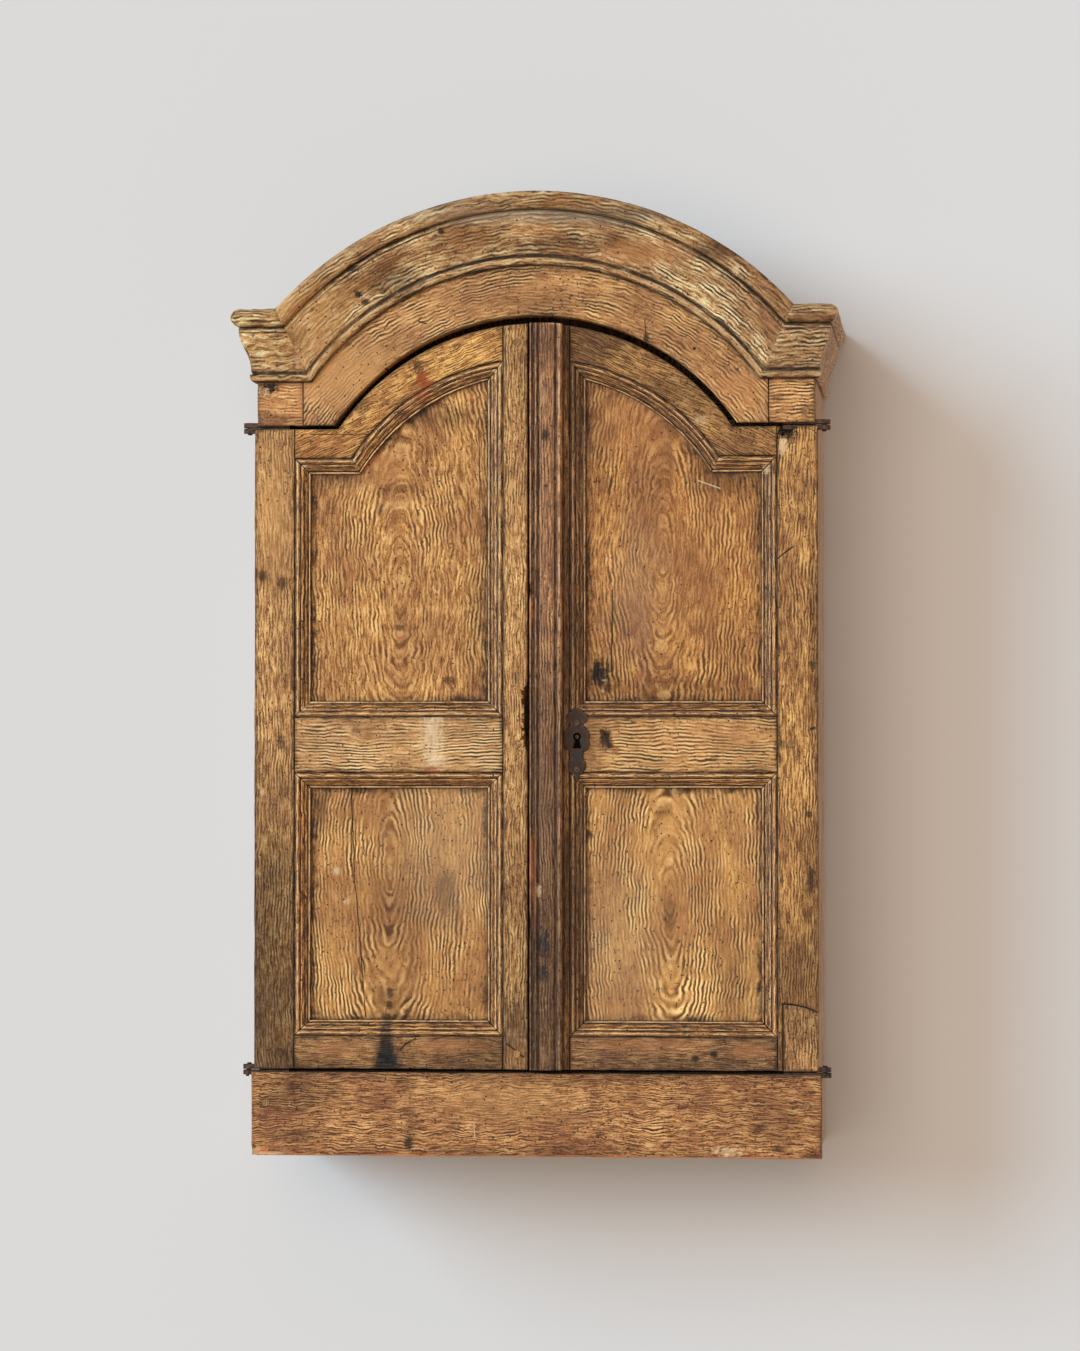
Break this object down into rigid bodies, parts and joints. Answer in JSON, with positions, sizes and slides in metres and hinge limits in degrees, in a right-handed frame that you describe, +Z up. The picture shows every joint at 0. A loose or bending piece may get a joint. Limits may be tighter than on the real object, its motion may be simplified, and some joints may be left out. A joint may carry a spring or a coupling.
{
  "type": "wall cabinet",
  "caption": "Hanging oak cupboard with an arched moulded cornice, panelled doors on iron pivot hinges, inner shelves, a lock and a slide bolt.",
  "frame": {"origin": "on the wall plane at the back, midway between the two hanging holes", "axes": "+X to the right of someone facing the doors, +Y into the wall, +Z up"},
  "size_m": [0.658, 0.298, 1.043],
  "materials": {
    "case_wood": "dry old softwood",
    "front_oak": "worn waxed oak, reddish",
    "cornice_oak": "worn waxed oak",
    "frame_oak": "worn waxed oak",
    "panel_oak": "worn waxed oak, honey",
    "moulding_oak": "dark worn oak",
    "strip_oak": "dark reddish oak",
    "peg_oak": "end grain oak",
    "wrought_iron": "rusty wrought iron"
  },
  "bodies": {
    "case": {"left_side_board": "case_wood", "right_side_board": "case_wood", "bottom_board": "case_wood", "back_boards": "case_wood", "lower_shelf": "case_wood", "upper_shelf": "case_wood", "shelf_cleats": "case_wood", "hanging_rail": "case_wood", "apron_board": "front_oak", "frieze_arch": "front_oak", "frieze_left_block": "front_oak", "frieze_right_block": "front_oak", "cornice_arch": "cornice_oak", "cornice_left_ear": "cornice_oak", "cornice_right_ear": "cornice_oak", "cornice_left_return": "cornice_oak", "cornice_right_return": "cornice_oak", "roof_staves": "case_wood", "shoulder_boards": "case_wood", "case_pegs": "peg_oak", "hinge_case_leaves": "wrought_iron", "hinge_pins": "wrought_iron", "side_nail": "wrought_iron"},
    "left_door": {"left_hanging_stile": "frame_oak", "left_meeting_stile": "frame_oak", "left_top_rail": "frame_oak", "left_mid_rail": "frame_oak", "left_foot_rail": "frame_oak", "left_upper_panel": "panel_oak", "left_lower_panel": "panel_oak", "left_upper_moulding": "moulding_oak", "left_lower_moulding": "moulding_oak", "left_door_pegs": "peg_oak", "left_hinge_leaves": "wrought_iron", "slide_bolt_plate": "wrought_iron", "slide_bolt_staples": "wrought_iron", "lock_keeper": "wrought_iron"},
    "right_door": {"right_hanging_stile": "frame_oak", "right_meeting_stile": "frame_oak", "right_top_rail": "frame_oak", "right_mid_rail": "frame_oak", "right_foot_rail": "frame_oak", "right_upper_panel": "panel_oak", "right_lower_panel": "panel_oak", "right_upper_moulding": "moulding_oak", "right_lower_moulding": "moulding_oak", "right_door_pegs": "peg_oak", "right_hinge_leaves": "wrought_iron", "stile_patch": "frame_oak", "cover_strip": "strip_oak", "key_plate": "wrought_iron", "key_plate_nails": "wrought_iron", "bent_nail": "wrought_iron", "lock_plate": "wrought_iron", "lock_cap": "wrought_iron", "lock_spring": "wrought_iron", "key_pin": "wrought_iron"},
    "slide_bolt": {"slide_bolt": "wrought_iron"},
    "lock_bolt": {"lock_bolt": "wrought_iron"}
  },
  "joints": [
    {"name": "left_door_hinge", "type": "hinge", "parent": "case", "child": "left_door", "pos_m": [-0.3125, -0.261, 0], "axis": [0, 0, -1], "range_deg": [0, 225]},
    {"name": "right_door_hinge", "type": "hinge", "parent": "case", "child": "right_door", "pos_m": [0.3125, -0.261, 0], "axis": [0, 0, 1], "range_deg": [0, 225]},
    {"name": "slide_bolt_slide", "type": "slide", "parent": "left_door", "child": "slide_bolt", "axis": [0, 0, 1], "range_m": [0, 0.024]},
    {"name": "lock_bolt_slide", "type": "slide", "parent": "right_door", "child": "lock_bolt", "axis": [-1, 0, 0], "range_m": [0, 0.01]}
  ]
}
